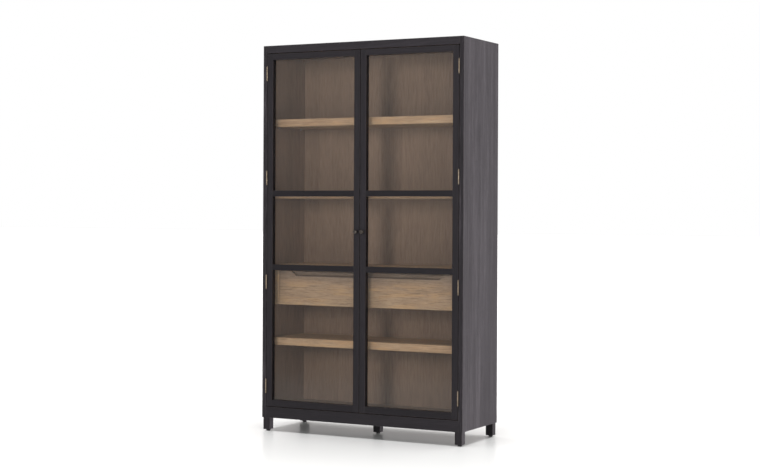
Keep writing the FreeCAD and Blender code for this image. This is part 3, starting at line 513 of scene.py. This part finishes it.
FITTINGS = {
    "door_left_glass": GLASS, "door_right_glass": GLASS,
    "door_left_hinge_leaves": NICKEL, "door_right_hinge_leaves": NICKEL, "hinge_frame_leaves": NICKEL, "hinge_pins": NICKEL,
    "door_left_hinge_screws": NICKEL, "door_right_hinge_screws": NICKEL, "hinge_frame_screws": NICKEL,
    "door_left_knob": BRONZE, "door_right_knob": BRONZE,
    "leg_screws": STEEL, "center_leg_bolt": STEEL, "shelf_pins": STEEL,
    "door_left_strike_plate": STEEL, "door_right_strike_plate": STEEL,
    "leg_glides": PLASTIC, "door_catches": PLASTIC,
}
for node, mat in FITTINGS.items():
    wear_material(node, mat)
for n in ("door_left_glass", "door_right_glass"):
    nodes[n].visible_shadow = True


# --------------------------------------------------------------------------
# Knobs: the same turned shape as the CAD's, rounded over at the face and rim
# --------------------------------------------------------------------------
KNOB = [  # radius, distance in front of the door
    (0.0, -0.0160), (0.0019, -0.0160), (0.0019, 0.0001), (0.0074, 0.0001), (0.0074, 0.0013), (0.0070, 0.0023), (0.0058, 0.0032),
    (0.0050, 0.0044), (0.0048, 0.0062), (0.0050, 0.0080), (0.0058, 0.0093), (0.0076, 0.0107), (0.0098, 0.0121), (0.0113, 0.0137),
    (0.0119, 0.0156), (0.0118, 0.0174), (0.0111, 0.0191), (0.0097, 0.0206), (0.0077, 0.0217), (0.0053, 0.0224), (0.0027, 0.0228), (0.0, 0.0229),
]


def turned(name, profile, cx, cz, y_face):
    """A closed body of revolution about a line along Y."""
    made = bmesh.new()
    rings = []
    for rad, out in profile:
        if rad == 0.0:
            rings.append([made.verts.new((cx, y_face - out, cz))])
        else:
            rings.append([made.verts.new((cx + rad * math.cos(math.tau * k / 48), y_face - out, cz + rad * math.sin(math.tau * k / 48)))
                          for k in range(48)])
    for a, b in zip(rings, rings[1:]):
        for k in range(48):
            j = (k + 1) % 48
            if len(a) == 1:
                made.faces.new((a[0], b[k], b[j]))
            elif len(b) == 1:
                made.faces.new((a[k], a[j], b[0]))
            else:
                made.faces.new((a[k], a[j], b[j], b[k]))
    bmesh.ops.recalc_face_normals(made, faces=made.faces[:])
    for f in made.faces:
        f.smooth = True
    mesh = bpy.data.meshes.new(name)
    made.to_mesh(mesh)
    made.free()
    o = bpy.data.objects.new(name, mesh)
    scene.collection.objects.link(o)
    return o


for side in ("left", "right"):
    low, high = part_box(f"door_{side}_knob")
    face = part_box(f"door_{side}_meeting_stile")[0].y
    knob = turned(f"door_{side}_turned_knob", KNOB, (low.x + high.x) / 2, (low.z + high.z) / 2, face)
    knob.data.materials.append(BRONZE)
    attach(knob, f"door_{side}")
    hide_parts(f"door_{side}_knob")


# --------------------------------------------------------------------------
# Floor, light and air
# --------------------------------------------------------------------------
def floor_material():
    t = Tree("studio_floor")
    cloud = t.noise(t.place(), 1.3, 3.0, 0.5)
    grit = t.noise(t.place(), 160.0, 2.0, 0.5)
    matt = t.node("ShaderNodeBsdfDiffuse")
    x, y, z = t.xyz(t.place())
    # painted shade: the floor's colour is darker around the cabinet's footprint and reaches its unshaded tone 1.5 m
    # away
    dx = t.m("MAXIMUM", t.m("SUBTRACT", t.m("ABSOLUTE", x), 0.60), 0.0)
    dy = t.m("MAXIMUM", t.m("SUBTRACT", t.m("ABSOLUTE", y), 0.22), 0.0)
    away = t.m("SQRT", t.m("ADD", t.m("MULTIPLY", dx, dx), t.m("MULTIPLY", dy, dy)))
    pale = t.mix(cloud, (0.640, 0.640, 0.636, 1.0), (0.668, 0.668, 0.664, 1.0))
    floor_unshaded = t.mix(cloud, (0.80, 0.80, 0.798, 1.0), (0.82, 0.82, 0.818, 1.0))
    t.put(matt.inputs["Color"], t.mix(t.span(away, 0.0, 1.5, 0.0, 1.0, "LINEAR"), pale, floor_unshaded))
    t.put(matt.inputs["Normal"], t.bump(grit, 0.05, 0.0002))
    shine = t.node("ShaderNodeBsdfAnisotropic")
    shine.inputs["Color"].default_value = (0.98, 1.0, 0.94, 1.0)
    t.put(shine.inputs["Roughness"], t.span(cloud, 0.2, 0.8, 0.20, 0.25))
    s = t.node("ShaderNodeMixShader")
    t.put(s.inputs[0], t.span(cloud, 0.2, 0.8, 0.19, 0.21))
    t.put(s.inputs[1], matt.outputs[0])
    t.put(s.inputs[2], shine.outputs[0])
    t.surface(s.outputs[0])
    return t.mat


bm = bmesh.new()
bmesh.ops.create_grid(bm, x_segments=8, y_segments=8, size=60.0)
floor_mesh = bpy.data.meshes.new("floor")
bm.to_mesh(floor_mesh)
bm.free()
floor = bpy.data.objects.new("floor", floor_mesh)
scene.collection.objects.link(floor)
floor.data.materials.append(floor_material())
floor.visible_glossy = False

world = bpy.data.worlds.new("studio")
scene.world = world
world.use_nodes = True
wt = world.node_tree
wt.nodes.clear()
w_out = wt.nodes.new("ShaderNodeOutputWorld")
w_co = wt.nodes.new("ShaderNodeTexCoord")
w_sep = wt.nodes.new("ShaderNodeSeparateXYZ")
wt.links.new(w_co.outputs["Generated"], w_sep.inputs[0])


def w_range(socket, a, b, lo, hi):
    n = wt.nodes.new("ShaderNodeMapRange")
    n.interpolation_type = "SMOOTHSTEP"
    wt.links.new(socket, n.inputs[0])
    for i, x in enumerate((a, b, lo, hi)):
        n.inputs[i + 1].default_value = x
    return n.outputs[0]


def w_math(op, a, b):
    n = wt.nodes.new("ShaderNodeMath")
    n.operation = op
    for i, x in enumerate((a, b)):
        if isinstance(x, bpy.types.NodeSocket):
            wt.links.new(x, n.inputs[i])
        else:
            n.inputs[i].default_value = x
    return n.outputs[0]


def w_blend(kind, fac, a, b):
    n = wt.nodes.new("ShaderNodeMix")
    n.data_type = kind
    first = 6 if kind == "RGBA" else 2
    wt.links.new(fac, n.inputs[0])
    for i, x in ((first, a), (first + 1, b)):
        if isinstance(x, bpy.types.NodeSocket):
            wt.links.new(x, n.inputs[i])
        else:
            n.inputs[i].default_value = x
    return n.outputs[2 if kind == "RGBA" else 0]


w_x, w_y, w_z = w_sep.outputs
w_path = wt.nodes.new("ShaderNodeLightPath")
# pale cyclorama behind, dimmer room in front, a little brighter overhead
w_soft = w_math("ADD", w_range(w_y, -0.25, 0.55, 0.20, 1.45), w_range(w_z, 0.15, 0.9, 0.0, 0.10))
# what polished faces mirror: the room in front darkens downward until the white floor sweep begins
w_room = w_math("ADD", w_range(w_z, -0.08, 0.08, 0.42, 0.58), w_range(w_z, -0.118, -0.102, 0.26, 0.0))
w_rear = w_range(w_y, -0.25, 0.55, 0.0, 1.0)
w_gloss = w_blend("FLOAT", w_rear, w_room, 1.24)
w_seen = wt.nodes.new("ShaderNodeBackground")
w_seen.inputs["Color"].default_value = (1.0, 1.0, 1.0, 1.0)
w_seen.inputs["Strength"].default_value = 1.0
w_lit = wt.nodes.new("ShaderNodeBackground")
w_tint = w_blend("RGBA", w_rear, (1.0, 0.995, 0.985, 1.0), (1.0, 0.935, 0.985, 1.0))
wt.links.new(w_blend("RGBA", w_path.outputs["Is Glossy Ray"], (1.0, 0.995, 0.985, 1.0), w_tint), w_lit.inputs["Color"])
wt.links.new(w_blend("FLOAT", w_path.outputs["Is Glossy Ray"], w_soft, w_gloss), w_lit.inputs["Strength"])
w_mix = wt.nodes.new("ShaderNodeMixShader")
wt.links.new(w_path.outputs["Is Camera Ray"], w_mix.inputs[0])
wt.links.new(w_lit.outputs[0], w_mix.inputs[1])
wt.links.new(w_seen.outputs[0], w_mix.inputs[2])
wt.links.new(w_mix.outputs[0], w_out.inputs["Surface"])


def softbox(name, size, at, to, power, glossy=False):
    data = bpy.data.lights.new(name, "AREA")
    data.shape = "RECTANGLE"
    data.size, data.size_y = size
    data.energy = power
    o = bpy.data.objects.new(name, data)
    scene.collection.objects.link(o)
    o.location = at
    o.rotation_mode = "QUATERNION"
    o.rotation_quaternion = (Vector(to) - Vector(at)).to_track_quat("-Z", "Y")
    o.visible_camera = False
    o.visible_glossy = glossy
    return o


softbox("key", (1.35, 1.9), (0.84, -7.8, 2.35), (0.0, 0.0, 1.2), 226.0)
glint = softbox("glint", (0.8, 0.8), (0.84, -7.8, 2.35), (0.0, 0.0, 1.2), 80.0, True)
glint.visible_diffuse = False
softbox("side_fill", (2.6, 2.6), (4.6, -5.0, 2.2), (0.0, 0.2, 1.1), 73.0)

sun = bpy.data.lights.new("overhead", "SUN")
sun.energy = 2.9
sun.angle = math.radians(30)
sun_o = bpy.data.objects.new("overhead", sun)
scene.collection.objects.link(sun_o)
sun_o.rotation_mode = "XYZ"
sun_o.rotation_euler = (math.radians(7), 0.0, 0.0)
sun_o.visible_glossy = False

scene.view_settings.view_transform = "Standard"
scene.view_settings.look = "None"
scene.view_settings.exposure = 0.0
scene.view_settings.gamma = 1.0
scene.cycles.use_denoising = True
scene.cycles.max_bounces = 10
scene.cycles.transparent_max_bounces = 24
scene.cycles.caustics_reflective = False
scene.cycles.caustics_refractive = False
